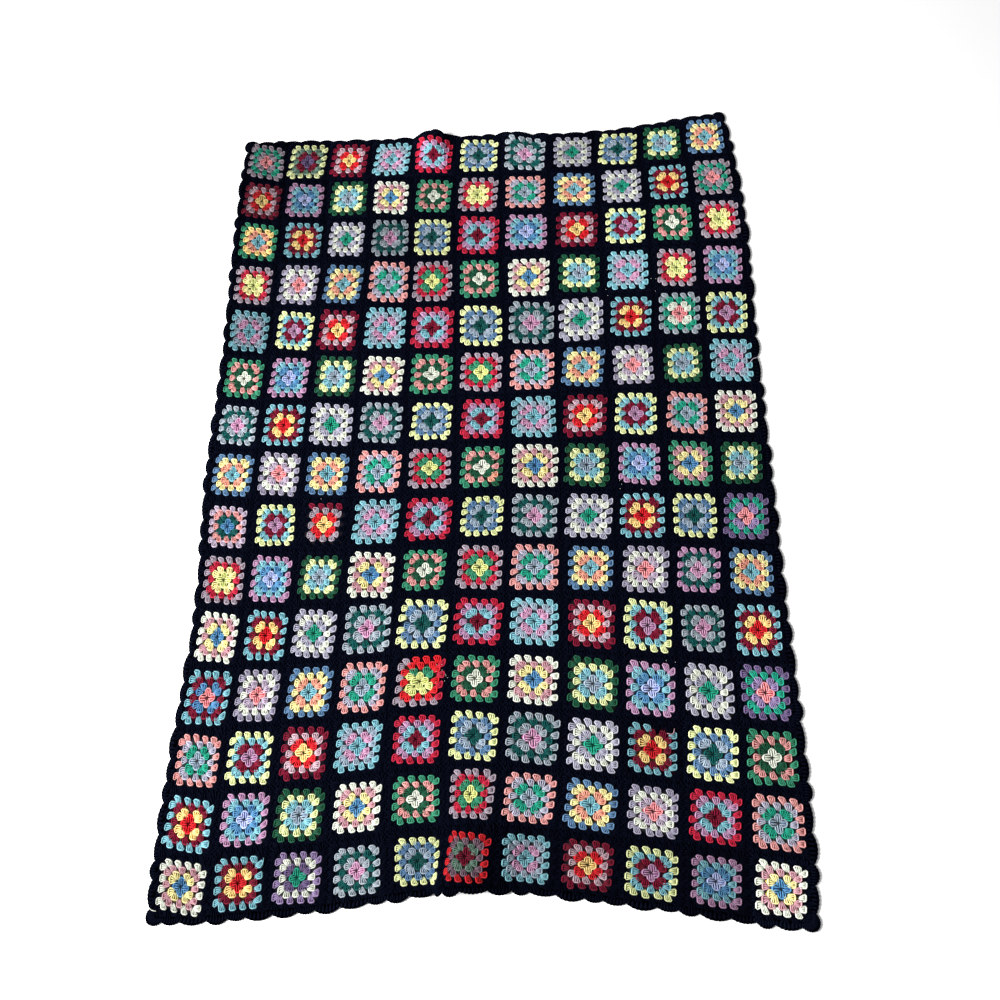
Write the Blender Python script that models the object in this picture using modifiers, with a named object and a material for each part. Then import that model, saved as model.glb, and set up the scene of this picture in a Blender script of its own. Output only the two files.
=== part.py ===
"""Granny square blanket: crocheted squares joined into one cloth, with a shell edging, lying on the floor.

Metres, +Z up.  The head of the blanket is at +Y and the floor it lies on is at z = 0.
Places on the cloth are counted in squares: `across` from its left side and `down` from its head.
"""

import bmesh
import bpy
import numpy as np

# ---------------------------------------------------------------- sizes

COLUMNS = 11
ROWS = 15
SQUARE_ACROSS = 0.110        # one square as it lies, side to side
SQUARE_DOWN = 0.1165         # one square as it lies, head to foot
THICKNESS = 0.0045           # crochet in four-ply yarn
GAP = 0.0005                 # between the squares and the edging

POINTS_PER_SHELL = 5         # facets of one shell's rim
INNER_POINTS_PER_SHELL = 3   # facets of its foot, along the squares
SHELL_ROUNDNESS = 0.75       # power of the sine that bulges a shell; under 1 gives deep notches
UNEVEN_DEPTH = 0.28          # how far the depth of the shells wanders, as a share
UNEVEN_DEPTH_STEP = 2.3      # radians from one shell to the next in that wander
UNEVEN_WIDTH = 0.16          # how far the notches between the shells wander along a side, in shells
UNEVEN_WIDTH_STEP = 1.9      # radians from one notch to the next in that wander
CORNER_POINTS = 10           # facets of the rim of a shell that turns a corner
CORNER_SPAN = 0.022          # how far such a shell runs along either side
CORNER_SQUARENESS = 3.0      # power of its rounding, 2 for a round one and more for a squarer one

MILLIMETRE = 0.001

# How far the cloth lies off a straight grid, in millimetres, on evenly spaced lines from head to foot,
# at five evenly spaced places from its left side to its right.
# Towards +X:
SIDEWAYS = (
    # left, left quarter, middle, right quarter, right
    (20, -5, -15, -5, -10),
    (20, 5, -15, 5, 10),
    (25, 0, -5, 5, 5),
    (20, 0, 0, 5, 5),
    (30, -5, -5, 5, 5),
    (15, -10, -15, 0, 10),
    (5, -5, -30, -20, 5),
)
# Towards the head:
HEADWARDS = (
    # left, left quarter, middle, right quarter, right
    (-30, -25, -10, 5, 65),
    (-25, -15, -5, 20, 45),
    (-30, -25, -15, 5, 20),
    (-25, -20, -5, 0, 5),
    (-20, -10, 10, 5, -5),
    (-25, -5, 25, 0, -20),
    (-10, 15, 50, 25, -20),
)

# Soft ridges.  Each starts at nothing and rises to its full height at an edge of the cloth.
# The gather is how far the cloth to the left is pushed over against the ridge, which steepens its left side.
FOLDS = (
    # start across, start down, end across, end down, height, left width, right width, gather
    (4.45, 1.4, 4.45, 0.0, 0.026, 0.50, 0.50, 0.0),
    (6.25, 1.2, 6.25, 0.0, 0.010, 0.45, 0.45, 0.0),
    (6.20, 11.6, 5.25, 15.0, 0.028, 0.70, 1.20, 0.042),
)
GATHER_REACH = 3.5           # squares left of the crest over which the gather dies away
CORNER_DRAW = 0.007          # how far each corner is drawn in, along either side
CORNER_REACH = 1.2           # squares from the corner over which that dies away

# The cloth's facets, closer together where the ridges are.
ACROSS_CELLS = (
    # from, to, cells
    (0.0, 3.5, 7),
    (3.5, 7.0, 18),
    (7.0, 11.0, 8),
)
DOWN_CELLS = (
    # from, to, cells
    (0.0, 1.5, 6),
    (1.5, 11.5, 20),
    (11.5, 15.0, 14),
)

# The shell edging, side by side around the cloth.
EDGING = (
    # side, shells, band under the shells, their depth, depth of the shell turning the corner after it
    ("head", 28, 0.0020, 0.0055, 0.0100),
    ("right", 36, 0.0020, 0.0075, 0.0100),
    ("foot", 28, 0.0020, 0.0075, 0.0100),
    ("left", 36, 0.0020, 0.0065, 0.0150),
)


# ---------------------------------------------------------------- how the cloth lies

def shares(count, place):
    """How much each of `count` evenly spaced values counts at each place from 0 to 1 (Catmull-Rom)."""
    at = np.asarray(place) * (count - 1)
    first = np.clip(np.floor(at), 0, count - 2).astype(int)
    t = at - first
    parts = (
        t * (-0.5 + t - 0.5 * t * t),
        1 + t * t * (1.5 * t - 2.5),
        t * (0.5 + 2 * t - 1.5 * t * t),
        0.5 * t * t * (t - 1),
    )
    share = np.zeros((len(at), count + 2))
    line = np.arange(len(at))
    for step, part in enumerate(parts):
        share[line, first + step] += part
    # The values run on straight past both ends.
    share[:, 1] += 2 * share[:, 0]
    share[:, 2] -= share[:, 0]
    share[:, -2] += 2 * share[:, -1]
    share[:, -3] -= share[:, -1]
    return share[:, 1:-1]


def wander(table, across, down):
    """A table's value, in metres, at places on the cloth."""
    table = np.array(table) * MILLIMETRE
    lines, columns = table.shape
    by_line = shares(lines, down / ROWS)
    by_column = shares(columns, across / COLUMNS)
    return np.einsum("pl,pc,lc->p", by_line, by_column, table)


def folded(across, down):
    """Sideways push and height of the ridges at places on the cloth."""
    push = np.zeros(len(across))
    height = np.zeros(len(across))
    for start_across, start_down, end_across, end_down, top, left, right, gather in FOLDS:
        along = np.clip((down - start_down) / (end_down - start_down), 0, 1)
        past_crest = across - (start_across + (end_across - start_across) * along)
        reach = np.where(past_crest < 0, left, right)
        off = np.clip(abs(past_crest) / reach, 0, 1)
        height += top * along**2 * (1 - off**2) ** 2
        behind = np.clip(1 + past_crest / GATHER_REACH, 0, 1) ** 2
        through = np.clip(-past_crest / left, 0, 1)
        push += gather * along**2 * behind * through**2 * (3 - 2 * through)
    return push, height


def drawn_in(across, down):
    """How far the nearest corner draws places on the cloth towards its middle, along either side."""
    from_side = np.clip(np.minimum(across, COLUMNS - across), 0, None)
    from_end = np.clip(np.minimum(down, ROWS - down), 0, None)
    return CORNER_DRAW * np.clip(1 - np.hypot(from_side, from_end) / CORNER_REACH, 0, 1) ** 2


def laid(across, down):
    """Where places on the cloth's underside lie, as an array of x, y, z."""
    across = np.asarray(across, float)
    down = np.asarray(down, float)
    push, height = folded(across, down)
    draw = drawn_in(across, down)
    x = (across - COLUMNS / 2) * SQUARE_ACROSS + wander(SIDEWAYS, across, down) + push
    x -= draw * np.sign(across - COLUMNS / 2)
    y = (ROWS / 2 - down) * SQUARE_DOWN + wander(HEADWARDS, across, down)
    y -= draw * np.sign(ROWS / 2 - down)
    return np.column_stack([x, y, height])


# ---------------------------------------------------------------- helpers

def material(name, colour, roughness):
    """A plain yarn material."""
    made = bpy.data.materials.new(name)
    made.use_nodes = True
    shader = made.node_tree.nodes["Principled BSDF"]
    shader.inputs["Base Color"].default_value = (*colour, 1.0)
    shader.inputs["Roughness"].default_value = roughness
    shader.inputs["Metallic"].default_value = 0.0
    return made


def thicken(piece):
    """Gives a sheet its thickness, upwards from its underside."""
    solid = piece.modifiers.new("Thickness", "SOLIDIFY")
    solid.thickness = THICKNESS
    solid.offset = 1.0
    solid.use_even_offset = False


def finish(piece, collection, yarn):
    """Names a piece's collection and material, and shades it smooth."""
    for old in list(piece.users_collection):
        old.objects.unlink(piece)
    collection.objects.link(piece)
    piece.data.materials.append(yarn)
    piece.data.shade_smooth()


# ---------------------------------------------------------------- pieces

def cell_lines(cells):
    """Where the lines between the facets run, in squares."""
    spans = [np.linspace(start, end, count, endpoint=False) for start, end, count in cells]
    return np.append(np.concatenate(spans), cells[-1][1])


def joined_squares(collection):
    """The squares, joined into one cloth: a grid laid in its folds and thickened."""
    across_lines = cell_lines(ACROSS_CELLS)
    down_lines = cell_lines(DOWN_CELLS)
    bpy.ops.mesh.primitive_grid_add(
        x_subdivisions=len(across_lines) - 1,
        y_subdivisions=len(down_lines) - 1,
        size=1.0,
    )
    piece = bpy.context.object
    piece.name = "joined_squares"
    piece.data.name = "joined_squares"
    flat = np.array([corner.co for corner in piece.data.vertices])
    column = np.rint((flat[:, 0] + 0.5) * (len(across_lines) - 1)).astype(int)
    row = np.rint((0.5 - flat[:, 1]) * (len(down_lines) - 1)).astype(int)
    places = laid(across_lines[column], down_lines[row])
    piece.data.vertices.foreach_set("co", places.ravel())
    thicken(piece)
    finish(piece, collection, material("mixed_yarn", (0.23, 0.17, 0.20), 0.9))
    return piece


def beside(side, along, out):
    """A place on the cloth `out` metres past a side, `along` from 0 to 1 clockwise around the cloth."""
    past_across = out / SQUARE_ACROSS
    past_down = out / SQUARE_DOWN
    return {
        "head": (along * COLUMNS, -past_down),
        "right": (COLUMNS + past_across, along * ROWS),
        "foot": ((1 - along) * COLUMNS, ROWS + past_down),
        "left": (-past_across, (1 - along) * ROWS),
    }[side]


def corner_share(side):
    """How much of a side's length a corner's shell takes up."""
    return CORNER_SPAN / (COLUMNS * SQUARE_ACROSS if side in ("head", "foot") else ROWS * SQUARE_DOWN)


def notch(side, shells, number):
    """Where along a side, from 0 to 1, one shell ends and the next one starts."""
    corner = corner_share(side)
    if 0 < number < shells:
        number += UNEVEN_WIDTH * np.sin(UNEVEN_WIDTH_STEP * number)
    return corner + (1 - 2 * corner) * number / shells


def shell(side, shells, band, depth, number):
    """One shell's outline on the cloth: its foot along the squares, then its bulging rim."""
    start = notch(side, shells, number)
    width = notch(side, shells, number + 1) - start
    foot = [
        beside(side, start + width * step / INNER_POINTS_PER_SHELL, GAP)
        for step in range(INNER_POINTS_PER_SHELL + 1)
    ]
    bulge = depth * (1 + UNEVEN_DEPTH * np.sin(UNEVEN_DEPTH_STEP * number))
    rim = [
        beside(
            side,
            start + width * step / POINTS_PER_SHELL,
            band + bulge * np.sin(np.pi * step / POINTS_PER_SHELL) ** SHELL_ROUNDNESS,
        )
        for step in range(POINTS_PER_SHELL + 1)
    ]
    return foot + rim[::-1]


def corner_shell(this, following):
    """The shell that turns the corner from one side to the next."""
    side, _, band, _, depth = this
    next_side, _, next_band, *_ = following
    corner = np.array(beside(side, 1, 0))
    # Steps past each of the two sides, in squares for each metre.
    ways = [np.array(beside(side, 1, 1)) - corner, np.array(beside(next_side, 0, 1)) - corner]
    foot = [
        beside(side, 1 - corner_share(side), GAP),
        corner + GAP * (ways[0] + ways[1]),
        beside(next_side, corner_share(next_side), GAP),
    ]
    middle = corner - CORNER_SPAN * (ways[0] + ways[1])
    rim = []
    for step in range(CORNER_POINTS + 1):
        turned = step / CORNER_POINTS
        bulge = depth * np.sin(np.pi * turned) ** SHELL_ROUNDNESS
        reach = CORNER_SPAN + band + (next_band - band) * turned + bulge
        spread = np.array([np.cos(turned * np.pi / 2), np.sin(turned * np.pi / 2)])
        spread /= (spread**CORNER_SQUARENESS).sum() ** (1 / CORNER_SQUARENESS)
        rim.append(middle + reach * (spread[0] * ways[0] + spread[1] * ways[1]))
    return foot + rim[::-1]


def shell_edging(collection):
    """The edging: shells all the way around, one face each, laid beside the squares and thickened."""
    sheet = bmesh.new()
    outlines = []
    for number, row in enumerate(EDGING):
        side, shells, band, depth, _ = row
        outlines += [shell(side, shells, band, depth, each) for each in range(shells)]
        outlines.append(corner_shell(row, EDGING[(number + 1) % len(EDGING)]))
    for outline in outlines:
        across, down = np.array(outline).T
        corners = [sheet.verts.new(place) for place in laid(across, down)]
        sheet.faces.new(corners)
    bmesh.ops.remove_doubles(sheet, verts=sheet.verts[:], dist=0.00001)
    for face in sheet.faces:
        face.normal_update()
        if face.normal.z < 0:
            face.normal_flip()
    mesh = bpy.data.meshes.new("shell_edging")
    sheet.to_mesh(mesh)
    sheet.free()
    piece = bpy.data.objects.new("shell_edging", mesh)
    bpy.context.scene.collection.objects.link(piece)
    thicken(piece)
    finish(piece, collection, material("black_yarn", (0.008, 0.009, 0.014), 0.85))
    return piece


def centre(pieces):
    """Moves the pieces so that the origin is at the middle of the blanket's floor print."""
    bpy.context.view_layer.update()
    graph = bpy.context.evaluated_depsgraph_get()
    corners = np.array([corner for piece in pieces for corner in piece.evaluated_get(graph).bound_box])
    middle = (corners.min(axis=0) + corners.max(axis=0)) / 2
    for piece in pieces:
        piece.location = (-middle[0], -middle[1], 0.0)


def main():
    for old in list(bpy.data.objects):
        bpy.data.objects.remove(old, do_unlink=True)
    blanket = bpy.data.collections.new("granny_square_blanket")
    bpy.context.scene.collection.children.link(blanket)
    centre([joined_squares(blanket), shell_edging(blanket)])


main()
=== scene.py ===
"""Granny square blanket: 165 crocheted squares joined in black, with a shell edging, on a pale floor.

Metres, +Z up, with the head of the blanket at +Y.  Places on the cloth are counted in squares: `across` from
its left side and `down` from its head.  Places in one square are counted in squares from its middle.
"""

import math

import bpy
import numpy as np
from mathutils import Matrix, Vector


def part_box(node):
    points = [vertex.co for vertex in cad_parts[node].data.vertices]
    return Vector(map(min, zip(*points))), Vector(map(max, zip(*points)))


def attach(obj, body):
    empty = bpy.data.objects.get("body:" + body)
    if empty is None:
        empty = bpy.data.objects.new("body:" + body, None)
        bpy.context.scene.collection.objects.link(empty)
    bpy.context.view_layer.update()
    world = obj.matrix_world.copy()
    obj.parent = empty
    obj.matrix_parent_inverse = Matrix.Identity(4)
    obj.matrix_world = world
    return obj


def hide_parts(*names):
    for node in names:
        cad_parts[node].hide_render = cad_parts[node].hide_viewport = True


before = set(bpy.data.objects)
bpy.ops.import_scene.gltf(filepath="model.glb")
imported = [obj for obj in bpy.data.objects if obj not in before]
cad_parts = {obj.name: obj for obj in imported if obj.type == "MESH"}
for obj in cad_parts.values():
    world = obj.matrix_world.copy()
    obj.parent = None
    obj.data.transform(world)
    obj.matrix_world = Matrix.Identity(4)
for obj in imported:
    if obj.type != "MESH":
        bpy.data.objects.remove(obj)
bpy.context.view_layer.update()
chance = np.random.default_rng(165)

# ---------------------------------------------------------------- light, camera and floor

WORLD_LIGHT = 0.44
KEY_PLACE = (-2.85, -0.55, 2.0)
KEY_POWER = 345.0
KEY_SIZE = 1.2
CAMERA_PLACE = (0.037, -0.602, 1.608)   # as if the cloth were not centred
CAMERA_TILT = math.radians(18)
LENS = 28.8
SENSOR = 36.0
FLOOR_SIZE = 12.0
FLOOR_DROP = 0.0005           # how far the floor lies under the cloth
FLOOR_COLOUR = (0.97, 0.97, 0.97, 1.0)

# ---------------------------------------------------------------- sizes, as in the part

COLUMNS = 11
ROWS = 15
SQUARE_ACROSS = 0.110
SQUARE_DOWN = 0.1165
MILLIMETRE = 0.001

# How far the cloth lies off a straight grid, in millimetres, on evenly spaced lines from head to foot,
# at five evenly spaced places from its left side to its right.
# Towards +X:
SIDEWAYS = (
    # left, left quarter, middle, right quarter, right
    (20, -5, -15, -5, -10),
    (20, 5, -15, 5, 10),
    (25, 0, -5, 5, 5),
    (20, 0, 0, 5, 5),
    (30, -5, -5, 5, 5),
    (15, -10, -15, 0, 10),
    (5, -5, -30, -20, 5),
)
# Towards the head:
HEADWARDS = (
    # left, left quarter, middle, right quarter, right
    (-30, -25, -10, 5, 65),
    (-25, -15, -5, 20, 45),
    (-30, -25, -15, 5, 20),
    (-25, -20, -5, 0, 5),
    (-20, -10, 10, 5, -5),
    (-25, -5, 25, 0, -20),
    (-10, 15, 50, 25, -20),
)

# Soft ridges.  Each starts at nothing and rises to its full height at an edge of the cloth.
FOLDS = (
    # start across, start down, end across, end down, height, left width, right width, gather
    (4.45, 1.4, 4.45, 0.0, 0.026, 0.50, 0.50, 0.0),
    (6.25, 1.2, 6.25, 0.0, 0.010, 0.45, 0.45, 0.0),
    (6.20, 11.6, 5.25, 15.0, 0.028, 0.70, 1.20, 0.042),
)
GATHER_REACH = 3.5
CORNER_DRAW = 0.007
CORNER_REACH = 1.2

EDGING = (
    # side, shells, band under the shells, their depth, depth of the shell turning the corner after it
    ("head", 28, 0.0020, 0.0055, 0.0100),
    ("right", 36, 0.0020, 0.0075, 0.0100),
    ("foot", 28, 0.0020, 0.0075, 0.0100),
    ("left", 36, 0.0020, 0.0065, 0.0150),
)
SHELL_ROUNDNESS = 0.75
UNEVEN_DEPTH = 0.28
UNEVEN_DEPTH_STEP = 2.3
UNEVEN_WIDTH = 0.16
UNEVEN_WIDTH_STEP = 1.9
CORNER_SPAN = 0.022
CORNER_SQUARENESS = 3.0
EDGING_FOOT = 0.006           # how far inside the squares' edge the edging's stitches start

# ---------------------------------------------------------------- the yarns and the chart

BLACK = (0.0018, 0.0024, 0.0062)   # linear light
YARN_LIGHT = 0.80             # the coloured yarns' share of the light that their colours stand for
YARN_GLOSS = 0.12
YARN_SHEEN = 0.03
# Where on its ramp, from deep to pale, a yarn starts, and how much each thing moves it along. Rise and ply
# move it as painted light and shade; tone and fuzz vary the yarn itself, and in clusters tone also carries
# painted light and shade.
YARN_SHADE_START = -0.15
TONE_SHARE = 0.38
RISE_PAINTED_LIGHT_SHARE = 0.36
PLY_SHARE = 0.12
FUZZ_SHARE = 0.50
YARNS = {
    # name: colour as it looks, 0 to 255
    "cream": (211, 215, 202),
    "pale_yellow": (211, 217, 161),
    "straw": (225, 215, 153),
    "yellow": (209, 213, 140),
    "gold": (240, 208, 136),
    "orange": (214, 149, 127),
    "salmon": (203, 142, 139),
    "coral": (226, 145, 149),
    "rose": (186, 141, 150),
    "dusty_rose": (186, 159, 169),
    "pink": (189, 142, 172),
    "orchid": (170, 131, 162),
    "mauve": (175, 161, 178),
    "grey_lilac": (152, 140, 151),
    "grey": (146, 155, 163),
    "grey_blue": (147, 162, 176),
    "lavender": (163, 162, 178),
    "smoke": (148, 143, 161),
    "lilac": (143, 123, 162),
    "periwinkle": (170, 180, 219),
    "aqua": (119, 173, 184),
    "blue": (80, 133, 172),
    "slate_blue": (86, 120, 153),
    "green": (28, 146, 121),
    "leaf_green": (50, 130, 100),
    "dull_green": (104, 132, 118),
    "dull_mauve": (124, 98, 112),
    "dark_green": (22, 77, 54),
    "bottle_green": (5, 74, 72),
    "red": (204, 22, 34),
    "crimson": (176, 26, 57),
    "dark_red": (113, 6, 40),
    "purple": (102, 86, 122),
}

COLOURWAYS = {
    # letter: the middle round, then the second, third and fourth
    "A": ("coral", "lilac", "green", "purple"),
    "B": ("orchid", "dark_red", "aqua", "pale_yellow"),
    "C": ("gold", "red", "dusty_rose", "dark_red"),
    "D": ("aqua", "pink", "grey_blue", "aqua"),
    "E": ("dark_red", "aqua", "orchid", "crimson"),
    "F": ("bottle_green", "grey_blue", "slate_blue", "pale_yellow"),
    "G": ("pink", "grey", "bottle_green", "grey"),
    "H": ("green", "lavender", "cream", "lavender"),
    "J": ("yellow", "leaf_green", "crimson", "grey_lilac"),
    "K": ("cream", "dark_green", "salmon", "leaf_green"),
    "L": ("blue", "straw", "rose", "cream"),
    "M": ("grey_blue", "green", "lavender", "salmon"),
    "N": ("grey_blue", "aqua", "pale_yellow", "dark_green"),
    "O": ("aqua", "orange", "straw", "slate_blue"),
    "P": ("periwinkle", "blue", "aqua", "orchid"),
    "Q": ("red", "gold", "dark_red", "aqua"),
    "R": ("coral", "mauve", "cream", "smoke"),
    "S": ("coral", "grey_lilac", "green", "grey_lilac"),
    "T": ("aqua", "orange", "gold", "leaf_green"),
    "U": ("yellow", "straw", "crimson", "grey_lilac"),
    "V": ("blue", "bottle_green", "salmon", "mauve"),
    "W": ("coral", "blue", "dark_red", "aqua"),
    "X": ("coral", "cream", "green", "grey"),
    "Y": ("blue", "straw", "rose", "leaf_green"),
    "Z": ("pink", "grey", "bottle_green", "orchid"),
    "b": ("purple", "dark_red", "dull_green", "pale_yellow"),
    "e": ("dark_red", "dull_green", "dull_mauve", "red"),
    "h": ("green", "purple", "cream", "lilac"),
}

# The colourways from head to foot, a line for each column from the left.
CHART = (
    "SCTUDKGOVULWMQL",
    "b" + ("PQRB" * 4)[:ROWS - 1],
    "CNHO" * 3 + "CNh",
    ("DLGM" * 4)[:ROWS],
    ("EKFJ" * 4)[:ROWS],
    "FU" + "EKFJ" * 3 + "e",
    "GMPLGM" + ("DLGM" * 3)[:9],
    ("HOCN" * 4)[:ROWS],
    "FHBD" + ("QRBP" * 3)[:11],
    "NQKUXNMYFZGHFEP",
    "OSUPBDLNAOQAKML",
)

HEAD, RIGHT, FOOT, LEFT = range(4)
OTHER_YARN = (
    # column, row, round, side, first and last cluster clockwise, the yarn they are worked in instead
    (2, 8, 3, HEAD, 0, 2, "grey_lilac"),
    (2, 8, 3, RIGHT, 0, 2, "grey_lilac"),
    (2, 8, 3, FOOT, 0, 2, "grey_lilac"),
    (2, 8, 3, LEFT, 0, 2, "grey_lilac"),
    (2, 8, 4, RIGHT, 0, 3, "black"),
    (2, 8, 4, FOOT, 0, 3, "black"),
    (2, 8, 4, LEFT, 0, 3, "black"),
    (4, 11, 2, RIGHT, 1, 1, "yellow"),
    (4, 11, 2, FOOT, 0, 1, "yellow"),
    (4, 11, 2, LEFT, 0, 1, "yellow"),
    (4, 11, 3, HEAD, 0, 2, "red"),
    (4, 11, 3, RIGHT, 0, 2, "red"),
    (4, 11, 3, FOOT, 0, 2, "red"),
    (4, 11, 3, LEFT, 0, 2, "red"),
    (4, 11, 4, HEAD, 1, 3, "red"),
    (4, 11, 4, RIGHT, 0, 3, "crimson"),
    (5, 7, 3, RIGHT, 2, 2, "orange"),
    (5, 7, 3, FOOT, 0, 0, "orange"),
    (5, 7, 4, RIGHT, 1, 3, "dark_green"),
    (5, 7, 4, FOOT, 0, 0, "dark_green"),
    (8, 12, 4, HEAD, 2, 3, "black"),
)

# ---------------------------------------------------------------- the stitches, in squares

ROUNDS = (
    # foot and top of its clusters from the middle, step between clusters, how far the corner ones turn
    # outwards, half width at the foot and at the top, share of the slant, how far its posts' tips run on
    (0.018, 0.148, 0.000, 0.000, 0.061, 0.061, 0.3, 0.033),
    (0.100, 0.228, 0.190, 0.026, 0.026, 0.068, 0.4, 0.055),
    (0.198, 0.322, 0.186, 0.026, 0.026, 0.063, 0.7, 0.020),
    (0.292, 0.418, 0.186, 0.016, 0.030, 0.058, 0.9, 0.000),
    (0.400, 0.498, 0.196, 0.000, 0.040, 0.054, 1.0, 0.000),
)
SLANTS = (-0.052, -0.040, -0.052, -0.032)   # how far the clusters lean on the head, right, foot and left side
POST_HALF_WIDTH = 0.0135
ARCH = (
    # along the cluster, off its middle line in half widths, height in mm over the middle, thickness share
    (-0.10, -0.70, -0.3, 0.00),
    (0.15, -1.00, 0.0, 1.00),
    (0.88, -1.00, 0.3, 1.00),
    (1.00, -0.60, 0.5, 1.05),
    (1.00, 0.60, 0.5, 1.05),
    (0.88, 1.00, 0.3, 1.00),
    (0.15, 1.00, 0.0, 1.00),
    (-0.10, 0.70, -0.3, 0.00),
)
PETAL = (
    # the same for the middle round
    (0.00, -0.35, -0.3, 0.00),
    (0.38, -1.00, 0.0, 1.00),
    (0.77, -0.92, 0.3, 1.00),
    (0.98, -0.42, 0.5, 1.05),
    (0.98, 0.42, 0.5, 1.05),
    (0.77, 0.92, 0.3, 1.00),
    (0.38, 1.00, 0.0, 1.00),
    (0.00, 0.35, -0.3, 0.00),
)
INNER_POSTS = (-0.34, 0.34)   # off the middle line of a cluster, in half widths
BLACK_FOOT_STEP = 0.020       # between the feet of the black round's posts
SEAM_STITCHES = 11            # to a square's side
SEAM_REACH = 0.018            # how far a seam's stitch reaches over the join
SEAM_SLANT = 0.030            # and how far it runs on along it

# How the squares differ: their size against their room, skew and clockwise turn in radians, and the rest in
# squares.
SQUARE_SIZE = 0.965
SQUARE_SIZE_SPREAD = 0.028
ROW_SIZES = {13: 0.99, 14: 0.95}   # the last rows, counted from 0, are worked more tightly
SKEW_SPREAD = 0.015
TURN = 0.042
TURN_SPREAD = 0.019
LEFT_COLUMN_SKEW = 0.09       # strongest at the head and the foot, and none half way
LEFT_COLUMN_TURN = 0.07       # likewise
HEAD_ROW_SKEW = -0.07         # of the second to fourth squares of the head row
HEAD_ROW_TURN = 0.03
OFF_MIDDLE_SPREAD = 0.008
ROOM_EDGE = 0.07              # over this distance from the joins all of these die away
SQUARE_TONES = (0.35, 0.65)
# How their clusters differ.
LEAN_SPREAD = 0.014
SHIFT_SPREAD = 0.009
REACH_SPREAD = 0.008
TONE_SPREAD = 0.12
SWELLS = (0.90, 1.08)         # shares of a cluster's width
PUFFS = (0.92, 1.08)          # shares of a post's width

# Painted light and shade, square by square, scaled into the yarns' colours.
PAINTED_SHADES = (
    # column, row, how much lighter its yarns are painted, in stops: painted light above 0, painted shade
    # below 0
    (0, 0, -1.0),
    (1, 0, -0.6),
    (4, 0, 0.3),
    (6, 0, 0.3),
    (7, 0, -0.3),
    (9, 0, 0.2),
    (10, 0, 0.2),
    (0, 1, -1.1),
    (1, 1, -0.8),
    (4, 1, -0.3),
    (0, 2, -0.4),
    (1, 2, -0.6),
    (2, 2, -0.3),
    (3, 2, -0.5),
    (4, 2, -0.3),
    (8, 2, 0.3),
    (9, 2, 0.3),
    (10, 2, 0.3),
    (0, 3, -0.3),
    (2, 3, -0.3),
    (7, 3, 0.2),
    (8, 3, 0.3),
    (9, 3, 0.2),
    (0, 4, -0.6),
    (5, 5, 0.3),
    (6, 5, 0.3),
    (0, 6, 0.3),
    (3, 7, 0.3),
    (3, 10, 0.3),
    (10, 11, 0.3),
    (8, 12, -0.4),
    (9, 12, 0.3),
    (0, 14, -0.3),
    (1, 14, -0.4),
    (2, 14, -0.4),
    (4, 14, -0.3),
    (5, 14, -0.6),
    (6, 14, -0.6),
    (7, 14, -0.5),
    (8, 14, -0.3),
    (9, 14, -0.7),
    (10, 14, 0.3),
)
LOOSE_ENDS = (
    # yarn, across and down where it starts and where it ends, how far it bows out on the way
    ("mauve", 10.86, 5.56, 11.04, 5.46, -0.030),
    ("mauve", 9.36, 3.10, 9.49, 3.18, 0.045),
    ("mauve", 4.80, 3.79, 4.98, 3.74, -0.025),
    ("cream", -0.05, 14.77, 0.11, 14.86, 0.020),
    ("aqua", 1.91, 14.12, 1.85, 14.30, -0.020),
    ("rose", 8.72, 12.22, 8.87, 12.12, 0.060),
)
END_HALF_WIDTH = 0.008
LINT = (
    # across and down, how far it scatters, how many specks
    (7.95, 4.02, 0.30, 9),
    (9.00, 3.95, 0.25, 6),
    (8.50, 8.00, 0.25, 7),
    (8.55, 11.00, 0.22, 6),
    (4.93, 11.40, 0.10, 9),
    (2.55, 8.04, 0.20, 5),
)
LINT_HALF_LENGTH = 0.012

# Heights, in metres.
MID_HEIGHT = 0.0025           # the middle of the cloth over its underside
GROUND_HEIGHT = MID_HEIGHT - 0.0004
POST_HALF_HEIGHT = 0.0023

# A thin dark sheet behind the stitches: the yarn behind them, darkened as painted shade.
GROUND_CELLS = 10             # along a square's side
GROUND_ROUNDS = (0.12, 0.22, 0.32, 0.36)   # how far out the first four rounds show through, in squares
# painted shade: the yarn behind shows only at this share of its colour, and no lighter than the most below
BEHIND_SHARE = 0.35           # how much of a yarn's colour shows there
BEHIND_MOST = 0.030           # and the most light that it may have

# The edging.
POSTS_PER_SHELL = 7
GROUND_POINTS_PER_SHELL = 8


# ---------------------------------------------------------------- how the cloth lies

def shares(count, place):
    """How much each of `count` evenly spaced values counts at each place from 0 to 1 (Catmull-Rom)."""
    at = np.asarray(place) * (count - 1)
    first = np.clip(np.floor(at), 0, count - 2).astype(int)
    t = at - first
    parts = (
        t * (-0.5 + t - 0.5 * t * t),
        1 + t * t * (1.5 * t - 2.5),
        t * (0.5 + 2 * t - 1.5 * t * t),
        0.5 * t * t * (t - 1),
    )
    share = np.zeros((len(at), count + 2))
    line = np.arange(len(at))
    for step, part in enumerate(parts):
        share[line, first + step] += part
    # The values run on straight past both ends.
    share[:, 1] += 2 * share[:, 0]
    share[:, 2] -= share[:, 0]
    share[:, -2] += 2 * share[:, -1]
    share[:, -3] -= share[:, -1]
    return share[:, 1:-1]


def wander(table, across, down):
    """A table's value, in metres, at places on the cloth."""
    table = np.array(table) * MILLIMETRE
    lines, columns = table.shape
    by_line = shares(lines, down / ROWS)
    by_column = shares(columns, across / COLUMNS)
    return np.einsum("pl,pc,lc->p", by_line, by_column, table, optimize=True)


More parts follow.
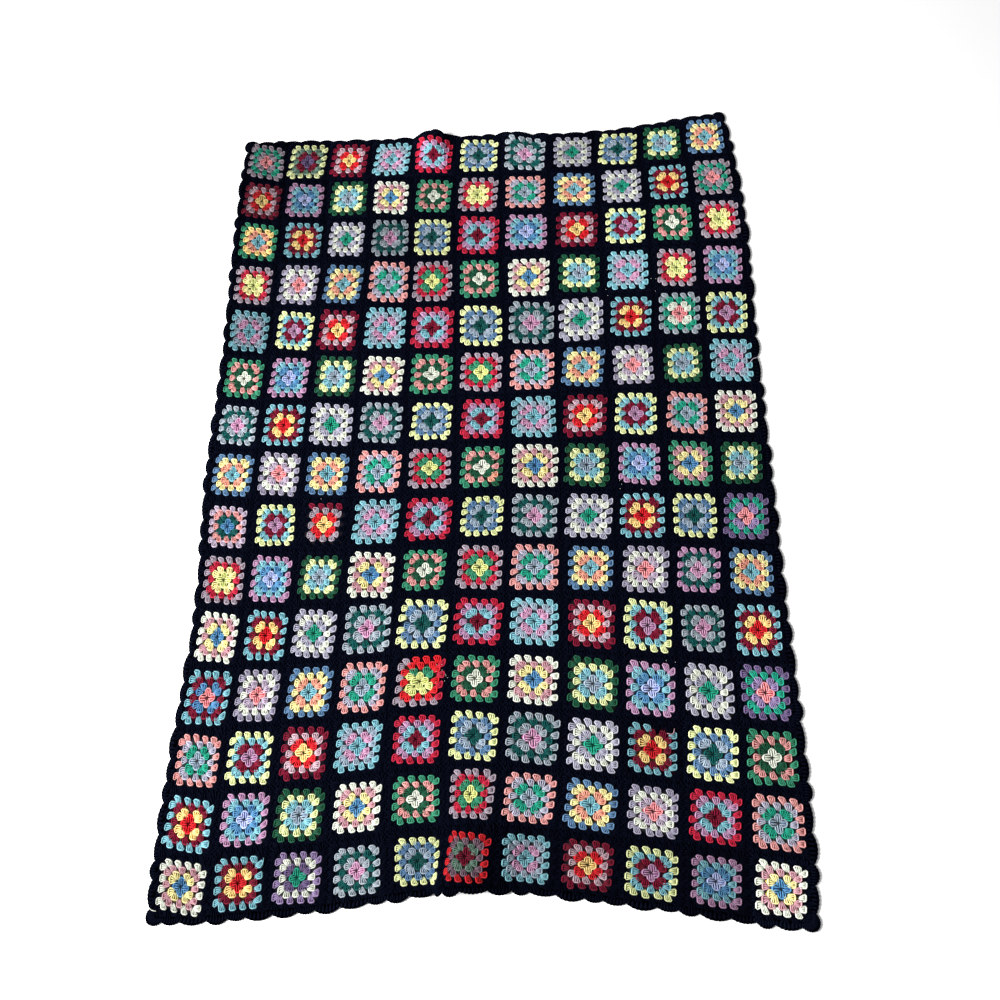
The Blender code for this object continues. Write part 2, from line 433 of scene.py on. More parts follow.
def folded(across, down):
    """Sideways push and height of the ridges at places on the cloth."""
    push = np.zeros(len(across))
    height = np.zeros(len(across))
    for start_across, start_down, end_across, end_down, top, left, right, gather in FOLDS:
        along = np.clip((down - start_down) / (end_down - start_down), 0, 1)
        past_crest = across - (start_across + (end_across - start_across) * along)
        reach = np.where(past_crest < 0, left, right)
        off = np.clip(abs(past_crest) / reach, 0, 1)
        height += top * along**2 * (1 - off**2) ** 2
        behind = np.clip(1 + past_crest / GATHER_REACH, 0, 1) ** 2
        through = np.clip(-past_crest / left, 0, 1)
        push += gather * along**2 * behind * through**2 * (3 - 2 * through)
    return push, height


def drawn_in(across, down):
    """How far the nearest corner draws places on the cloth towards its middle, along either side."""
    from_side = np.clip(np.minimum(across, COLUMNS - across), 0, None)
    from_end = np.clip(np.minimum(down, ROWS - down), 0, None)
    return CORNER_DRAW * np.clip(1 - np.hypot(from_side, from_end) / CORNER_REACH, 0, 1) ** 2


def laid(across, down):
    """Where places on the cloth's underside lie, as an array of x, y, z, before the part is centred."""
    across = np.asarray(across, float)
    down = np.asarray(down, float)
    push, height = folded(across, down)
    draw = drawn_in(across, down)
    x = (across - COLUMNS / 2) * SQUARE_ACROSS + wander(SIDEWAYS, across, down) + push
    x -= draw * np.sign(across - COLUMNS / 2)
    y = (ROWS / 2 - down) * SQUARE_DOWN + wander(HEADWARDS, across, down)
    y -= draw * np.sign(ROWS / 2 - down)
    return np.column_stack([x, y, height])


def centring():
    """How far the part was moved to stand over the origin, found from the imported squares."""
    steps = np.linspace(0, 1, 400)
    none = np.zeros(400)
    rim = np.vstack([
        laid(steps * COLUMNS, none),
        laid(steps * COLUMNS, none + ROWS),
        laid(none, steps * ROWS),
        laid(none + COLUMNS, steps * ROWS),
    ])
    low, high = (np.array(corner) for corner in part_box("joined_squares"))
    middle = (low + high) / 2 - (rim.min(axis=0) + rim.max(axis=0)) / 2
    return np.array([middle[0], middle[1], 0.0])


MOVED = centring()


def on_cloth(places):
    """Points from rows of across, down and height over the cloth's underside."""
    across, down, height = places.T
    step = 0.02
    here = laid(across, down)
    rightwards = laid(across + step, down) - here
    footwards = laid(across, down + step) - here
    up = np.cross(footwards, rightwards)
    up /= np.linalg.norm(up, axis=1)[:, None]
    return here + MOVED + up * height[:, None]


# ---------------------------------------------------------------- meshes from arrays

def spindle_pattern(sides, rings):
    """Corner numbers, face sizes and map corners of one strand that is pointed at both ends."""
    corners, sizes, turned, along = [], [], [], []
    last = 1 + rings * sides
    for side in range(sides):
        after = (side + 1) % sides
        corners += [0, 1 + after, 1 + side]
        turned += [side + 0.5, side + 1, side]
        along += [0, 1, 1]
        sizes.append(3)
        for ring in range(rings - 1):
            near = 1 + ring * sides
            far = near + sides
            corners += [near + side, near + after, far + after, far + side]
            turned += [side, side + 1, side + 1, side]
            along += [ring + 1, ring + 1, ring + 2, ring + 2]
            sizes.append(4)
        end = 1 + (rings - 1) * sides
        corners += [end + side, end + after, last]
        turned += [side, side + 1, side + 0.5]
        along += [rings, rings, rings + 1]
        sizes.append(3)
    return (
        np.array(corners),
        np.array(sizes),
        np.array(turned) / sides,
        np.array(along) / (rings + 1),
    )


def spindles(start, end, steps, sides, beside=None):
    """Strands on the cloth beside lines from `start` to `end`, rows of across and down.  Each step along a
    strand is (how far along, how far to the side, height over the middle of the cloth, half width, half
    height); it is pointed where it has no width."""
    count = len(start)
    way = end - start
    if beside is None:
        beside = np.column_stack([-way[:, 1], way[:, 0]])
        beside /= np.linalg.norm(beside, axis=1)[:, None]
    middles = [
        start + way * np.broadcast_to(along, count)[:, None] + beside * np.broadcast_to(aside, count)[:, None]
        for along, aside, *_ in steps
    ]
    last = len(steps) - 1
    blocks = []
    for place, (_, _, height, half_width, half_height) in enumerate(steps):
        height, half_width, half_height = (
            np.broadcast_to(value, count) for value in (height, half_width, half_height)
        )
        onward = middles[min(place + 1, last)] - middles[max(place - 1, 0)]
        across = np.column_stack([-onward[:, 1], onward[:, 0]])
        across /= np.linalg.norm(across, axis=1)[:, None]
        ring = sides if half_width.any() else 1
        angle = np.arange(ring) * 2 * np.pi / ring + np.pi / 2
        spread = (half_width[:, None] * np.cos(angle))[:, :, None]
        flat = middles[place][:, None, :] + across[:, None, :] * spread
        high = MID_HEIGHT + height[:, None] + half_height[:, None] * np.sin(angle)
        blocks.append(np.dstack([flat, high]))
    return np.concatenate(blocks, axis=1)


def ring_rise(sides):
    """How high each corner of a strand's ring stands, from 0 below to 1 on top; the yarn is painted lighter
    the higher it stands, as painted light.
    """
    return 0.5 + 0.5 * np.sin(np.arange(sides) * 2 * np.pi / sides + np.pi / 2)


def bake_cells(first, count, cells, turned, along):
    """Map corners for `count` strands, one small cell each, from cell `first` of `cells` a side."""
    number = first + np.arange(count)
    left = (number % cells)[:, None]
    low = (number // cells)[:, None]
    return np.dstack([
        (left + 0.08 + 0.84 * turned) / cells,
        (low + 0.08 + 0.84 * along) / cells,
    ]).reshape(-1, 2)


def painted_lightness(across, down):
    """The painted light and shade on the yarns at places on the cloth, as a share of their colour."""
    column = np.clip(np.floor(across), 0, COLUMNS - 1).astype(int)
    row = np.clip(np.floor(down), 0, ROWS - 1).astype(int)
    stops = np.zeros((COLUMNS, ROWS))
    for square_column, square_row, lighter in PAINTED_SHADES:
        stops[square_column, square_row] = lighter
    return 2.0 ** stops[column, row]


def build(name, kinds):
    """One mesh from several kinds of strands: (places, sides, rings, tone, rise) each."""
    total = sum(len(places) for places, *_ in kinds)
    cells = math.ceil(math.sqrt(total))
    points, corners, sizes, cell_maps, yarn_maps, tones, rises = [], [], [], [], [], [], []
    first_point = 0
    first_cell = 0
    for places, sides, rings, tone, rise in kinds:
        count, each, _ = places.shape
        pattern, face_sizes, turned, along = spindle_pattern(sides, rings)
        points.append(places.reshape(-1, 3))
        corners.append((pattern + first_point + each * np.arange(count)[:, None]).ravel())
        sizes.append(np.tile(face_sizes, count))
        cell_maps.append(bake_cells(first_cell, count, cells, turned, along))
        shift = chance.random(count)[:, None]
        yarn_maps.append(np.dstack([along + shift, turned + 0 * shift]).reshape(-1, 2))
        tones.append(np.repeat(tone, each))
        rises.append(np.tile(rise, count))
        first_point += count * each
        first_cell += count
    places = np.vstack(points)
    mesh = bpy.data.meshes.new(name)
    fill(mesh, on_cloth(places), np.concatenate(corners), np.concatenate(sizes))
    for title, values in (("OFBake", cell_maps), ("yarn", yarn_maps)):
        layer = mesh.uv_layers.new(name=title)
        layer.uv.foreach_set("vector", np.vstack(values).astype(np.float32).ravel())
    # the painted light and shade of each square, kept on every point
    lights = [painted_lightness(places[:, 0], places[:, 1])]
    for title, values in (("tone", tones), ("rise", rises), ("light", lights)):
        layer = mesh.attributes.new(title, "FLOAT", "POINT")
        layer.data.foreach_set("value", np.concatenate(values).astype(np.float32))
    return link(name, mesh)


def fill(mesh, points, corners, sizes):
    """Writes points and faces into an empty mesh and shades it smooth."""
    mesh.vertices.add(len(points))
    mesh.vertices.foreach_set("co", points.astype(np.float32).ravel())
    mesh.loops.add(len(corners))
    mesh.loops.foreach_set("vertex_index", corners.astype(np.int32))
    mesh.polygons.add(len(sizes))
    starts = np.concatenate([[0], np.cumsum(sizes)[:-1]])
    mesh.polygons.foreach_set("loop_start", starts.astype(np.int32))
    mesh.update(calc_edges=True)
    mesh.shade_smooth()


def link(name, mesh):
    piece = bpy.data.objects.new(name, mesh)
    bpy.context.scene.collection.objects.link(piece)
    return piece


# ---------------------------------------------------------------- materials

def linear(colour):
    """Linear light from a colour as it looks, 0 to 255."""
    share = np.array(colour) / 255
    return np.where(share <= 0.04045, share / 12.92, ((share + 0.055) / 1.055) ** 2.4)


def node(tree, kind, **settings):
    made = tree.nodes.new(kind)
    for name, value in settings.items():
        setattr(made, name, value)
    return made


def yarn_material(name, colour, gloss, sheen):
    """Twisted yarn with a fine ply and fuzz, painted lighter on its crests as a highlight and darker where it
    dips and in the ply's grooves as shade.
    """
    made = bpy.data.materials.new(name)
    made.use_nodes = True
    tree = made.node_tree
    shader = tree.nodes["Principled BSDF"]
    link_up = tree.links.new

    tone = node(tree, "ShaderNodeAttribute", attribute_name="tone")
    rise = node(tree, "ShaderNodeAttribute", attribute_name="rise")
    along = node(tree, "ShaderNodeUVMap", uv_map="yarn")
    ply = node(tree, "ShaderNodeTexWave", wave_type="BANDS", bands_direction="DIAGONAL")
    ply.inputs["Scale"].default_value = 2.2
    ply.inputs["Distortion"].default_value = 0.6
    link_up(along.outputs["UV"], ply.inputs["Vector"])
    place = node(tree, "ShaderNodeTexCoord")
    fuzz = node(tree, "ShaderNodeTexNoise")
    fuzz.inputs["Scale"].default_value = 420.0
    fuzz.inputs["Detail"].default_value = 3.0
    link_up(place.outputs["Object"], fuzz.inputs["Vector"])

    shade = None
    for source, share in (
        (tone.outputs["Fac"], TONE_SHARE),
        (rise.outputs["Fac"], RISE_PAINTED_LIGHT_SHARE),
        (ply.outputs["Fac"], PLY_SHARE),
        (fuzz.outputs["Fac"], FUZZ_SHARE),
    ):
        part = node(tree, "ShaderNodeMath", operation="MULTIPLY_ADD")
        part.inputs[1].default_value = share
        link_up(source, part.inputs[0])
        if shade is None:
            part.inputs[2].default_value = YARN_SHADE_START
        else:
            link_up(shade, part.inputs[2])
        shade = part.outputs[0]

    # painted light: the ramp runs from a deep painted shade through the yarn's colour to a pale painted
    # highlight
    ramp = node(tree, "ShaderNodeValToRGB")
    pure = np.array(colour)
    deep = pure * (pure / pure.max()) ** 1.9
    stops = (
        (0.0, deep * 0.10),
        (0.28, deep * 0.55),
        (0.55, pure),
        (1.0, pure * 1.4 + 0.05 * pure.max()),
    )
    for position, _ in stops[1:-1]:
        ramp.color_ramp.elements.new(position)
    for stop, (position, hue) in zip(ramp.color_ramp.elements, stops):
        stop.position = position
        stop.color = (*np.clip(hue, 0, 1), 1.0)
    link_up(shade, ramp.inputs["Fac"])
    # painted light and shade: each square's share scales the colour
    light = node(tree, "ShaderNodeAttribute", attribute_name="light")
    lit = node(tree, "ShaderNodeVectorMath", operation="SCALE")
    link_up(ramp.outputs["Color"], lit.inputs[0])
    link_up(light.outputs["Fac"], lit.inputs["Scale"])
    link_up(lit.outputs["Vector"], shader.inputs["Base Color"])

    bump = node(tree, "ShaderNodeBump")
    bump.inputs["Strength"].default_value = 0.5
    bump.inputs["Distance"].default_value = 0.0004
    link_up(ply.outputs["Fac"], bump.inputs["Height"])
    link_up(bump.outputs["Normal"], shader.inputs["Normal"])
    shader.inputs["Roughness"].default_value = 0.92
    shader.inputs["Specular IOR Level"].default_value = gloss
    shader.inputs["Sheen Weight"].default_value = sheen
    shader.inputs["Sheen Roughness"].default_value = 0.5
    return made


def shade_sheet_material():
    """What shows between the stitches: the strands behind them, in the yarn's colour with their shadow
    painted in.
    """
    made = bpy.data.materials.new("strands_between_in_shade")
    made.use_nodes = True
    tree = made.node_tree
    shader = tree.nodes["Principled BSDF"]
    hue = node(tree, "ShaderNodeAttribute", attribute_name="behind")
    place = node(tree, "ShaderNodeTexCoord")
    # painted shadow: dark loops multiplied into the colour
    loops = node(tree, "ShaderNodeTexVoronoi")
    loops.inputs["Scale"].default_value = 300.0
    tree.links.new(place.outputs["Object"], loops.inputs["Vector"])
    shadow = node(tree, "ShaderNodeMix", data_type="RGBA", blend_type="MULTIPLY")
    shadow.inputs["Factor"].default_value = 0.6
    tree.links.new(hue.outputs["Color"], shadow.inputs["A"])
    tree.links.new(loops.outputs["Distance"], shadow.inputs["B"])
    tree.links.new(shadow.outputs["Result"], shader.inputs["Base Color"])
    bump = node(tree, "ShaderNodeBump")
    bump.inputs["Distance"].default_value = 0.0006
    tree.links.new(loops.outputs["Distance"], bump.inputs["Height"])
    tree.links.new(bump.outputs["Normal"], shader.inputs["Normal"])
    shader.inputs["Roughness"].default_value = 0.95
    shader.inputs["Specular IOR Level"].default_value = 0.0
    return made


# ---------------------------------------------------------------- where the stitches stand

def turned(side, along, out):
    """Places in a square from places beside one of its sides: 0 head, 1 right, 2 foot, 3 left."""
    across = np.choose(side, [along, out, -along, -out])
    down = np.choose(side, [-out, along, out, -along])
    return across, down


class Squares:
    """How each square sits in its black round: a little smaller or larger, turned or off the middle."""

    def __init__(self):
        shape = (COLUMNS, ROWS)
        self.size = chance.normal(SQUARE_SIZE, SQUARE_SIZE_SPREAD, shape)
        for row, size in ROW_SIZES.items():
            self.size[:, row] *= size
        self.skew = chance.normal(0.0, SKEW_SPREAD, shape)
        self.turn = chance.normal(TURN, TURN_SPREAD, shape)
        to_ends = abs(np.arange(ROWS) - ROWS // 2) / (ROWS // 2)
        self.skew[0] += LEFT_COLUMN_SKEW * to_ends
        self.turn[0] += LEFT_COLUMN_TURN * to_ends
        self.skew[1:4, 0] += HEAD_ROW_SKEW
        self.turn[:, 0] += HEAD_ROW_TURN
        self.across = chance.normal(0.0, OFF_MIDDLE_SPREAD, shape)
        self.down = chance.normal(0.0, OFF_MIDDLE_SPREAD, shape)
        self.tone = chance.uniform(*SQUARE_TONES, shape)

    def place(self, column, row, across, down):
        """Places on the cloth from places in squares."""
        out = np.maximum(abs(across), abs(down))
        kept = np.clip((0.5 - out) / ROOM_EDGE, 0, 1)
        size = 1 + (self.size[column, row] - 1) * kept
        turn = self.turn[column, row] * kept
        skew = self.skew[column, row] * kept
        moved_across = size * (across + (skew - turn) * down) + self.across[column, row] * kept
        moved_down = size * (down + (skew + turn) * across) + self.down[column, row] * kept
        return np.column_stack([column + 0.5 + moved_across, row + 0.5 + moved_down])


def clusters(number):
    """Every cluster of one round in one square: its side, and its foot and top beside that side."""
    side, cluster = (grid.ravel() for grid in np.meshgrid(range(4), range(number), indexing="ij"))
    foot, top, step, corner, *_ = ROUNDS[number - 1]
    off = cluster - (number - 1) / 2
    outward = np.where(abs(off) == (number - 1) / 2, np.sign(off), 0) * corner
    foot_along = off * step - outward * 0.4
    top_along = off * step + outward * 0.6
    return side, foot_along, np.full(len(side), foot), top_along, np.full(len(side), top)


def round_clusters(squares, number, column, row):
    """The clusters of one round in the squares at `column`, `row`, on the cloth: their feet, their tops and
    the way along their side of the square."""
    side, foot_along, foot_out, top_along, top_out = clusters(number)
    each = len(side)
    count = len(column) * each
    side, foot_along, foot_out, top_along, top_out = (
        np.tile(values, len(column)) for values in (side, foot_along, foot_out, top_along, top_out)
    )
    lean = chance.normal(np.array(SLANTS)[side], LEAN_SPREAD) * ROUNDS[number - 1][6]
    shift = chance.normal(0, SHIFT_SPREAD, count)
    reach = chance.normal(0, REACH_SPREAD, count)
    tone = chance.uniform(-TONE_SPREAD, TONE_SPREAD, count) + np.repeat(squares.tone[column, row], each)
    column = np.repeat(column, each)
    row = np.repeat(row, each)
    start = squares.place(column, row, *turned(side, foot_along + shift - lean * 0.5, foot_out))
    end = squares.place(column, row, *turned(side, top_along + shift + lean * 0.5, top_out + reach))
    onward = squares.place(column, row, *turned(side, foot_along + shift - lean * 0.5 + 0.01, foot_out))
    return start, end, (onward - start) / 0.01, tone


def coloured_strands(number, start, end, beside, tone):
    """A cluster: the outer two posts and the chain over them as one arch, painted lighter as a highlight, the
    inner posts, painted a little darker, and a pad of yarn in shadow behind them, painted dark as shade."""
    count = len(start)
    foot, top, _, _, foot_half, top_half, _, tip = ROUNDS[number - 1]
    run_on = 1 + tip / (top - foot)
    swell = chance.uniform(*SWELLS, count)
    puff = POST_HALF_WIDTH * chance.uniform(*PUFFS, count)
    tall = POST_HALF_HEIGHT
    arch = spindles(start, end, [
        (
            along,
            aside * swell * (foot_half + (top_half - foot_half) * along),
            height * MILLIMETRE,
            puff * thick,
            tall * thick,
        )
        for along, aside, height, thick in (PETAL if number == 1 else ARCH)
    ], 4, beside)
    pad = spindles(start, end, (
        (0.0, 0.0, -0.0008, 0.0, 0.0),
        (0.75, 0.0, -0.0005, swell * top_half * 1.15, tall * 0.6),
        (run_on + 0.05, 0.0, -0.0006, 0.0, 0.0),
    ), 4, beside)
    ring = ring_rise(4)
    along_arch = (0.9, 0.95, 1.0, 1.0, 0.95, 0.9)
    arch_rise = np.concatenate([[0.4], *(ring * share for share in along_arch), [0.4]])
    # painted light and shade: the arch's tone is raised as a highlight, the pad's lowered as shade
    kinds = [
        (arch, 4, 6, tone + 0.20, arch_rise),
        (pad, 4, 1, tone - (0.20 if number == 1 else 0.50), np.full(6, -0.1)),
    ]
    for aside in INNER_POSTS:
        post = spindles(start, end, (
            (-0.10, aside * swell * foot_half * 0.7, -0.0002, 0.0, 0.0),
            (0.20, aside * swell * foot_half, 0.0001, puff * 1.05, tall),
            (0.80, aside * swell * top_half, 0.0002, puff * 1.1, tall),
            (run_on, aside * swell * top_half * (2 - run_on) * 0.5, -0.0004, 0.0, 0.0),
        ), 4, beside)
        # the inner posts' tone is lowered a little, as painted shade
        kinds.append((post, 4, 2, tone - 0.08, np.concatenate([[0.6], ring, ring * 0.8, [0.1]])))
    return kinds


def black_strands(start, end, beside, tone):
    """Three plain posts to a cluster."""
    top_step = ROUNDS[4][5]
    low_step = BLACK_FOOT_STEP + 0.30 * (top_step - BLACK_FOOT_STEP)
    high_step = BLACK_FOOT_STEP + 0.80 * (top_step - BLACK_FOOT_STEP)
    kinds = []
    ring = ring_rise(4)
    for post in (-1, 0, 1):
        puff = POST_HALF_WIDTH * chance.uniform(*PUFFS, len(start))
        places = spindles(start, end, (
            (0.0, post * BLACK_FOOT_STEP, -0.0004, 0.0, 0.0),
            (0.30, post * low_step, 0.0, puff * 0.8, POST_HALF_HEIGHT * 0.75),
            (0.80, post * high_step, 0.0, puff * 1.25, POST_HALF_HEIGHT * 0.9),
            (1.03, post * top_step, 0.0, 0.0, 0.0),
        ), 4, beside)
        kinds.append((places, 4, 2, tone, np.concatenate([[0.0], ring, ring, [0.5]])))
    return kinds


def loose_end(across, down, end_across, end_down, bow):
    """A yarn end that was never woven in, curling over the stitches."""
    start = np.array([[across, down]])
    end = np.array([[end_across, end_down]])
    steps = [
        (along, bow * math.sin(math.pi * along) ** 2, 0.0032, END_HALF_WIDTH, POST_HALF_HEIGHT * 0.5)
        for along in (0.1, 0.3, 0.5, 0.7, 0.9)
    ]
    places = spindles(start, end, [(0.0, 0.0, 0.0, 0.0, 0.0), *steps, (1.0, 0.0, 0.002, 0.0, 0.0)], 4)
    rise = np.concatenate([[0.5], *[ring_rise(4)] * len(steps), [0.5]])
    return places, 4, len(steps), np.array([0.7]), rise


def lint():
    """Pale specks of fibre caught on the black."""
    middle = np.concatenate([
        chance.normal((across, down), reach, (count, 2)) for across, down, reach, count in LINT
    ])
    angle = chance.uniform(0, 2 * np.pi, len(middle))
    half = LINT_HALF_LENGTH * np.column_stack([np.cos(angle), np.sin(angle)])
    places = spindles(middle - half, middle + half, (
        (0.0, 0.0, 0.0025, 0.0, 0.0),
        (0.5, 0.0, 0.0028, 0.006, 0.0004),
        (1.0, 0.0, 0.0025, 0.0, 0.0),
    ), 4)
    return places, 4, 1, np.full(len(middle), 0.4), np.full(6, 0.6)


# ---------------------------------------------------------------- pieces

def yarns_used(number, column, row):
    """The yarn of every cluster of one round in the squares at `column`, `row`."""
    charted = [COLOURWAYS[CHART[c][r]][number - 1] for c, r in zip(column, row)]
    used = np.repeat(np.array(charted, dtype=object), 4 * number)
    for odd_column, odd_row, odd_round, side, first, last, name in OTHER_YARN:
        if odd_round == number:
            corner = (odd_column * ROWS + odd_row) * 4 * number + side * number
            used[corner + first:corner + last + 1] = name
    return used


def yarn_pieces(squares):
    """One piece for each coloured yarn: all its rounds, wherever they are.  Also the strands of the
    clusters worked in black."""
    kinds = {name: [] for name in (*YARNS, "black")}
    column, row = (grid.ravel() for grid in np.meshgrid(range(COLUMNS), range(ROWS), indexing="ij"))
    for number in (1, 2, 3, 4):
        stand = round_clusters(squares, number, column, row)
        used = yarns_used(number, column, row)
        for name, parts in kinds.items():
            here = used == name
            if here.any():
                parts += coloured_strands(number, *(values[here] for values in stand))
    for name, *course in LOOSE_ENDS:
        kinds[name].append(loose_end(*course))
    kinds["cream"].append(lint())
    pieces = []
    for name, colour in YARNS.items():
        piece = build("yarn_" + name, kinds[name])
        hue = linear(colour) * YARN_LIGHT
        piece.data.materials.append(yarn_material("yarn_" + name, hue, YARN_GLOSS, YARN_SHEEN))
        pieces.append(piece)
    return pieces, kinds["black"]


def black_round(squares, black, odd_clusters):
    column, row = (grid.ravel() for grid in np.meshgrid(range(COLUMNS), range(ROWS), indexing="ij"))
    plain = black_strands(*round_clusters(squares, 5, column, row))
    piece = build("black_round", plain + odd_clusters)
    piece.data.materials.append(black)
    return piece


def seams(black):
    """The whipped join between neighbouring squares."""
    starts, ends = [], []
    step = (np.arange(SEAM_STITCHES) + 0.5) / SEAM_STITCHES
    for line in range(1, COLUMNS):
        down = (np.arange(ROWS)[:, None] + step).ravel()
        starts.append(np.column_stack([np.full(len(down), line - SEAM_REACH), down - SEAM_SLANT]))
        ends.append(np.column_stack([np.full(len(down), line + SEAM_REACH), down + SEAM_SLANT]))
    for line in range(1, ROWS):
        across = (np.arange(COLUMNS)[:, None] + step).ravel()
        starts.append(np.column_stack([across - SEAM_SLANT, np.full(len(across), line - SEAM_REACH)]))
        ends.append(np.column_stack([across + SEAM_SLANT, np.full(len(across), line + SEAM_REACH)]))
    start = np.vstack(starts)
    end = np.vstack(ends)
    places = spindles(start, end, (
        (0.0, 0.0, 0.0006, 0.0, 0.0),
        (0.5, 0.0, 0.0014, 0.014, 0.0013),
        (1.0, 0.0, 0.0006, 0.0, 0.0),
    ), 4)
    tone = chance.uniform(0.4, 0.8, len(start))
    piece = build("seam_stitches", [(places, 4, 1, tone, np.array([0.5, 1, 0.5, 0, 0.5, 0.5]))])
    piece.data.materials.append(black)
    return piece


def beside_cloth(side, along, out):
    """Rows of across, down `out` metres past a side, `along` from 0 to 1 clockwise around the cloth."""
    past_across = out / SQUARE_ACROSS
    past_down = out / SQUARE_DOWN
    return np.column_stack({
        "head": (along * COLUMNS, -past_down),
        "right": (COLUMNS + past_across, along * ROWS),
        "foot": ((1 - along) * COLUMNS, ROWS + past_down),
        "left": (-past_across, (1 - along) * ROWS),
    }[side])


def corner_share(side):
    """How much of a side's length a corner's shell takes up."""
    return CORNER_SPAN / (COLUMNS * SQUARE_ACROSS if side in ("head", "foot") else ROWS * SQUARE_DOWN)


def notch(side, shells, number):
    """Where along a side, from 0 to 1, one shell ends and the next one starts."""
    corner = corner_share(side)
    wanders = UNEVEN_WIDTH * np.sin(UNEVEN_WIDTH_STEP * number)
    number = number + np.where((number > 0) & (number < shells), wanders, 0)
    return corner + (1 - 2 * corner) * number / shells


def edging_rim(points_each):
    """The scalloped outline of the edging as rows of across and down, and the foot line inside it."""
    rims, feet = [], []
    for number, (side, shells, band, depth, corner_depth) in enumerate(EDGING):
        step = np.arange(shells * points_each) / points_each
        which = np.floor(step)
        bulge = depth * (1 + UNEVEN_DEPTH * np.sin(UNEVEN_DEPTH_STEP * which))
        out = band + bulge * np.sin(np.pi * (step - which)) ** SHELL_ROUNDNESS
        start = notch(side, shells, which)
        along = start + (notch(side, shells, which + 1) - start) * (step - which)
        rims.append(beside_cloth(side, along, out))
        feet.append(beside_cloth(side, along, np.full(len(step), -EDGING_FOOT)))

        next_side, _, next_band, *_ = EDGING[(number + 1) % len(EDGING)]
        turn = np.arange(points_each * 2) / (points_each * 2)
        bulge = corner_depth * np.sin(np.pi * turn) ** SHELL_ROUNDNESS
        reach = CORNER_SPAN + band + (next_band - band) * turn + bulge
        corner = beside_cloth(side, np.array([1.0]), np.array([0.0]))
        away = beside_cloth(side, np.array([1.0]), np.array([1.0])) - corner
        onward = beside_cloth(next_side, np.array([0.0]), np.array([1.0])) - corner
        middle = corner - CORNER_SPAN * (away + onward)
        spread = np.column_stack([np.cos(turn * np.pi / 2), np.sin(turn * np.pi / 2)])
        spread /= ((spread**CORNER_SQUARENESS).sum(axis=1) ** (1 / CORNER_SQUARENESS))[:, None]
        spread = spread @ np.vstack([away, onward])
        rims.append(middle + reach[:, None] * spread)
        feet.append(middle + (CORNER_SPAN - EDGING_FOOT) * spread)
    return np.vstack(rims), np.vstack(feet)


def edging(black):
    """Black shells around the cloth: fanned posts, with a chain along their tops."""
    rim, foot = edging_rim(POSTS_PER_SHELL)
    after = np.roll(rim, -1, axis=0)
    tip = (rim + after) / 2
    base = (foot + np.roll(foot, -1, axis=0)) / 2
    tone = chance.uniform(0.3, 0.7, len(rim))
    half = np.linalg.norm(after - rim, axis=1) * 0.5
    places = spindles(base, tip - (tip - base) * 0.06, (
        (0.0, 0.0, -0.0003, 0.0, 0.0),
        (0.30, 0.0, 0.0, 0.020, POST_HALF_HEIGHT * 0.8),
        (0.80, 0.0, 0.0, half * 1.02, POST_HALF_HEIGHT * 0.95),
        (1.02, 0.0, 0.0, 0.0, 0.0),
    ), 4)
    chain = spindles(rim - (after - rim) * 0.25, after + (after - rim) * 0.25, (
        (0.0, 0.0, 0.0, 0.0, 0.0),
        (0.5, 0.0, 0.0, 0.014, 0.0016),
        (1.0, 0.0, 0.0, 0.0, 0.0),
    ), 4)
    ring = ring_rise(4)
    piece = build("shell_stitches", [
        (places, 4, 2, tone, np.concatenate([[0.0], ring, ring, [0.5]])),
        (chain, 4, 1, tone, np.concatenate([[0.5], ring, [0.5]])),
    ])
    piece.data.materials.append(black)
    backing = edging_ground(black)
    return piece, backing


def edging_ground(black):
    """The thin cloth behind the shells."""
    rim, foot = edging_rim(GROUND_POINTS_PER_SHELL)
    count = len(rim)
    height = np.full(2 * count, GROUND_HEIGHT)
    near = np.arange(count)
    far = (near + 1) % count
    corners = np.column_stack([near, far, far + count, near + count]).ravel()
    mesh = bpy.data.meshes.new("shell_ground")
    places = np.column_stack([np.vstack([foot, rim]), height])
    fill(mesh, on_cloth(places), corners, np.full(count, 4))
    piece = link("shell_ground", mesh)
    piece.data.materials.append(black)
    return piece


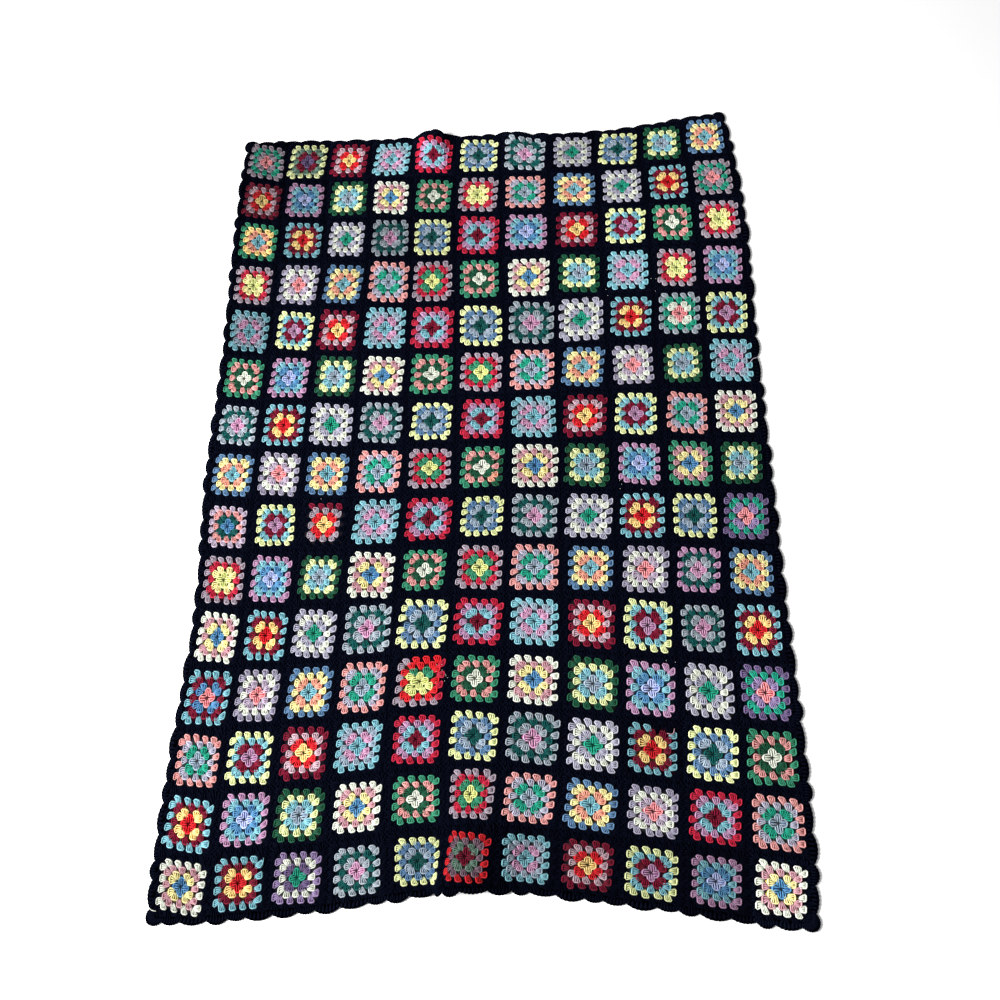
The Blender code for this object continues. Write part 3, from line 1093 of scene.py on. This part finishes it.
def shade_sheet(squares):
    """A thin sheet behind the squares' stitches, in the colours of the yarn behind them, darkened as painted
    shade.
    """
    wide = COLUMNS * GROUND_CELLS + 1
    long = ROWS * GROUND_CELLS + 1
    down, across = (grid.ravel() for grid in np.mgrid[0:long, 0:wide])
    column = np.minimum(across // GROUND_CELLS, COLUMNS - 1)
    row = np.minimum(down // GROUND_CELLS, ROWS - 1)
    in_across = across / GROUND_CELLS - column - 0.5
    in_down = down / GROUND_CELLS - row - 0.5
    places = squares.place(column, row, in_across, in_down)
    out = np.maximum(abs(in_across), abs(in_down))
    number = np.searchsorted(GROUND_ROUNDS, out)
    hues = np.zeros((len(out), 4))
    hues[:, 3] = 1.0
    for place in range(len(out)):
        if number[place] < len(GROUND_ROUNDS):
            name = COLOURWAYS[CHART[column[place]][row[place]]][number[place]]
            hue = linear(YARNS[name])
            # painted shade: the yarn's colour, darkened
            hues[place, :3] = hue * min(BEHIND_SHARE, BEHIND_MOST / hue.max())
        else:
            hues[place, :3] = BLACK
    corner = (np.arange(long - 1)[:, None] * wide + np.arange(wide - 1)).ravel()
    corners = np.column_stack([corner, corner + wide, corner + wide + 1, corner + 1]).ravel()
    mesh = bpy.data.meshes.new("shade_sheet")
    height = np.full(len(places), GROUND_HEIGHT)
    fill(mesh, on_cloth(np.column_stack([places, height])), corners, np.full(len(corner), 4))
    layer = mesh.attributes.new("behind", "FLOAT_COLOR", "POINT")
    layer.data.foreach_set("color", hues.astype(np.float32).ravel())
    flat = mesh.uv_layers.new(name="OFBake")
    spread = np.column_stack([across / (wide - 1), 1 - down / (long - 1)])
    flat.uv.foreach_set("vector", spread[corners].astype(np.float32).ravel())
    piece = link("shade_sheet", mesh)
    piece.data.materials.append(shade_sheet_material())
    return piece


# ---------------------------------------------------------------- the floor, the light and the camera

def stage():
    """A pale floor, soft light from the left, and the camera beyond the foot."""
    bpy.ops.mesh.primitive_plane_add(size=FLOOR_SIZE, location=(0, 0, -FLOOR_DROP))
    floor = bpy.context.object
    floor.name = "floor"
    made = bpy.data.materials.new("pale_floor")
    made.use_nodes = True
    shader = made.node_tree.nodes["Principled BSDF"]
    shader.inputs["Base Color"].default_value = FLOOR_COLOUR
    shader.inputs["Roughness"].default_value = 0.8
    floor.data.materials.append(made)

    world = bpy.data.worlds.new("studio")
    bpy.context.scene.world = world
    world.use_nodes = True
    sky = world.node_tree.nodes["Background"]
    sky.inputs["Color"].default_value = (1.0, 1.0, 1.0, 1.0)
    sky.inputs["Strength"].default_value = WORLD_LIGHT
    key = bpy.data.lights.new("key", "AREA")
    key.energy = KEY_POWER
    key.size = KEY_SIZE
    lamp = bpy.data.objects.new("key", key)
    lamp.location = KEY_PLACE
    lamp.rotation_euler = (-Vector(KEY_PLACE)).to_track_quat("-Z", "Y").to_euler()
    bpy.context.scene.collection.objects.link(lamp)

    view = bpy.data.cameras.new("camera")
    view.lens = LENS
    view.sensor_width = SENSOR
    camera = bpy.data.objects.new("camera", view)
    camera.location = CAMERA_PLACE + MOVED
    camera.rotation_euler = (CAMERA_TILT, 0, 0)
    bpy.context.scene.collection.objects.link(camera)
    bpy.context.scene.camera = camera
    bpy.context.scene.view_settings.view_transform = "Standard"


# ---------------------------------------------------------------- making it

stage()
squares = Squares()
black = yarn_material("yarn_black", BLACK, 0.0, 0.0)
coloured, odd_clusters = yarn_pieces(squares)
joining = [black_round(squares, black, odd_clusters), seams(black)]
shells, shell_ground = edging(black)
cloth = shade_sheet(squares)
for piece in [*coloured, *joining, shells, shell_ground, cloth]:
    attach(piece, "root")
for piece in coloured:
    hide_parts("joined_squares")
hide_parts("joined_squares")
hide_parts("shell_edging")
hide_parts("shell_edging")
